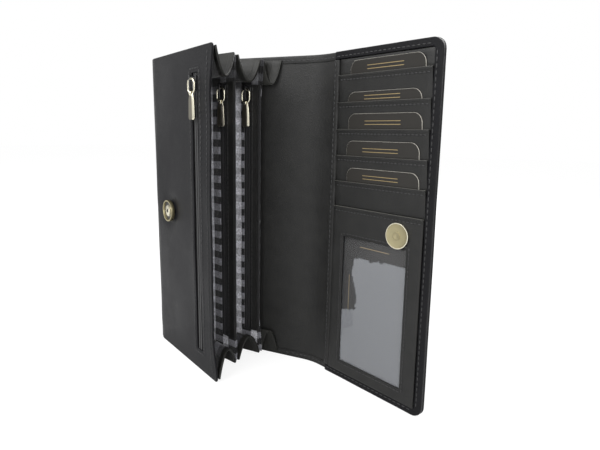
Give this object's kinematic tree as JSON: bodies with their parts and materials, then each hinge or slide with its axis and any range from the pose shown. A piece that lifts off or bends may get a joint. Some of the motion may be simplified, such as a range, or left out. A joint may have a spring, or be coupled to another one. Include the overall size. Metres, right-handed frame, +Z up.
{
  "type": "flap wallet",
  "caption": "Long leather wallet standing open: flap with card slots and clear window, fanned pockets with check lining, zip pockets, magnetic snap.",
  "frame": {"origin": "underside of the back panel's leather at the closed edge of the pockets", "axes": "+X from the closed edge to the mouth of the pockets and on to the flap, -Y to the front, +Z up along the long side"},
  "size_m": [0.1926, 0.0527, 0.195],
  "materials": {
    "leather_black": "semi-gloss, fine printed grain",
    "leather_inner": "satin, fine printed grain",
    "lining_check": "woven black and grey check",
    "zip_tape": "matte woven tape with moulded teeth",
    "metal_pale_gold": "polished pale gold plating",
    "clear_film": "clear, glossy",
    "card_black": "satin card"
  },
  "bodies": {
    "back": {"back_leather": "leather_black", "back_lining": "leather_inner", "gusset_3_top": "leather_black", "gusset_3_bottom": "leather_black"},
    "spine": {"spine_leather": "leather_black", "spine_lining": "leather_inner"},
    "flap": {"flap_leather": "leather_black", "flap_lining": "leather_inner", "flap_fold_band": "leather_inner", "card_panel_head": "leather_inner", "card_slot_1": "leather_inner", "card_slot_2": "leather_inner", "card_slot_3": "leather_inner", "card_slot_4": "leather_inner", "card_slot_5": "leather_inner", "card_1": "card_black", "card_2": "card_black", "card_3": "card_black", "card_4": "card_black", "card_5": "card_black", "window_frame": "leather_inner", "window_film": "clear_film", "window_card": "card_black", "snap_stud": "metal_pale_gold", "snap_stud_plate": "metal_pale_gold"},
    "divider_2": {"gusset_2_top": "leather_black", "gusset_2_bottom": "leather_black", "divider_2_front_wall": "lining_check", "divider_2_back_wall": "lining_check", "divider_2_facing": "leather_inner", "divider_2_zip_left_tape": "zip_tape", "divider_2_zip_right_tape": "zip_tape"},
    "divider_1": {"gusset_1_top": "leather_black", "gusset_1_bottom": "leather_black", "divider_1_front_wall": "lining_check", "divider_1_back_wall": "lining_check", "divider_1_facing": "leather_inner", "divider_1_zip_left_tape": "zip_tape", "divider_1_zip_right_tape": "zip_tape"},
    "front_panel": {"front_leather": "leather_black", "front_lining": "lining_check", "front_zip_pocket": "zip_tape", "front_zip_left_tape": "zip_tape", "front_zip_right_tape": "zip_tape", "snap_socket": "metal_pale_gold", "snap_socket_plate": "metal_pale_gold"},
    "front_zip_slider": {"front_zip_slider": "metal_pale_gold"},
    "front_zip_ring": {"front_zip_ring": "metal_pale_gold"},
    "front_zip_pull": {"front_zip_pull": "metal_pale_gold"},
    "divider_1_zip_slider": {"divider_1_zip_slider": "metal_pale_gold"},
    "divider_1_zip_ring": {"divider_1_zip_ring": "metal_pale_gold"},
    "divider_1_zip_pull": {"divider_1_zip_pull": "metal_pale_gold"},
    "divider_2_zip_slider": {"divider_2_zip_slider": "metal_pale_gold"},
    "divider_2_zip_ring": {"divider_2_zip_ring": "metal_pale_gold"},
    "divider_2_zip_pull": {"divider_2_zip_pull": "metal_pale_gold"}
  },
  "joints": [
    {"name": "spine_fold", "type": "hinge", "parent": "back", "child": "spine", "pos_m": [0.0835, -0.0013, 0.0975], "axis": [0, 0, -1], "range_deg": [-30, 90.1]},
    {"name": "flap_fold", "type": "hinge", "parent": "spine", "child": "flap", "pos_m": [0.11454, -0.0013, 0.0975], "axis": [0, 0, -1], "range_deg": [-24, 74.02]},
    {"name": "divider_2_fan", "type": "hinge", "parent": "back", "child": "divider_2", "pos_m": [0.002, -0.0033, 0.0975], "axis": [0, 0, 1], "range_deg": [-0.3, 0.8], "deforming": ["gusset_3_top", "gusset_3_bottom"]},
    {"name": "divider_1_fan", "type": "hinge", "parent": "divider_2", "child": "divider_1", "pos_m": [0, -0.0125, 0.0975], "axis": [0, 0, 1], "range_deg": [-2.8, 8.5], "deforming": ["gusset_2_top", "gusset_2_bottom"]},
    {"name": "front_panel_fan", "type": "hinge", "parent": "divider_1", "child": "front_panel", "pos_m": [0, -0.0125, 0.0975], "axis": [0, 0, 1], "range_deg": [-3.6, 10.8], "deforming": ["gusset_1_top", "gusset_1_bottom"]},
    {"name": "front_zip_slide", "type": "slide", "parent": "front_panel", "child": "front_zip_slider", "axis": [0, 0, -1], "range_m": [0, 0.155]},
    {"name": "front_zip_ring_swing", "type": "hinge", "parent": "front_zip_slider", "child": "front_zip_ring", "pos_m": [0.05243, -0.04298, 0.17795], "axis": [-0.8829, 0.4695, 0], "range_deg": [0, 176]},
    {"name": "front_zip_pull_swing", "type": "hinge", "parent": "front_zip_ring", "child": "front_zip_pull", "pos_m": [0.05243, -0.04298, 0.16995], "axis": [-0.8829, 0.4695, 0], "range_deg": [-4, 10]},
    {"name": "divider_1_zip_slide", "type": "slide", "parent": "divider_1", "child": "divider_1_zip_slider", "axis": [0, 0, -1], "range_m": [0, 0.135]},
    {"name": "divider_1_zip_ring_swing", "type": "hinge", "parent": "divider_1_zip_slider", "child": "divider_1_zip_ring", "pos_m": [0.06065, -0.02553, 0.17465], "axis": [0.9659, -0.2588, 0], "range_deg": [-32, 0]},
    {"name": "divider_1_zip_pull_swing", "type": "hinge", "parent": "divider_1_zip_ring", "child": "divider_1_zip_pull", "pos_m": [0.06065, -0.02553, 0.16665], "axis": [0.9659, -0.2588, 0], "range_deg": [-10, 4]},
    {"name": "divider_2_zip_slide", "type": "slide", "parent": "divider_2", "child": "divider_2_zip_slider", "axis": [0, 0, -1], "range_m": [0, 0.135]},
    {"name": "divider_2_zip_ring_swing", "type": "hinge", "parent": "divider_2_zip_slider", "child": "divider_2_zip_ring", "pos_m": [0.06868, -0.00963, 0.17515], "axis": [0.999, -0.0454, 0], "range_deg": [-30, 0]},
    {"name": "divider_2_zip_pull_swing", "type": "hinge", "parent": "divider_2_zip_ring", "child": "divider_2_zip_pull", "pos_m": [0.06868, -0.00963, 0.16715], "axis": [0.999, -0.0454, 0], "range_deg": [-10, 4]}
  ],
  "couplings": [
    {"joint": "spine_fold", "follows": "flap_fold", "ratio": 1.2158},
    {"joint": "divider_2_fan", "follows": "flap_fold", "ratio": 0.00973},
    {"joint": "divider_1_fan", "follows": "flap_fold", "ratio": 0.11213},
    {"joint": "front_panel_fan", "follows": "flap_fold", "ratio": 0.14401}
  ]
}
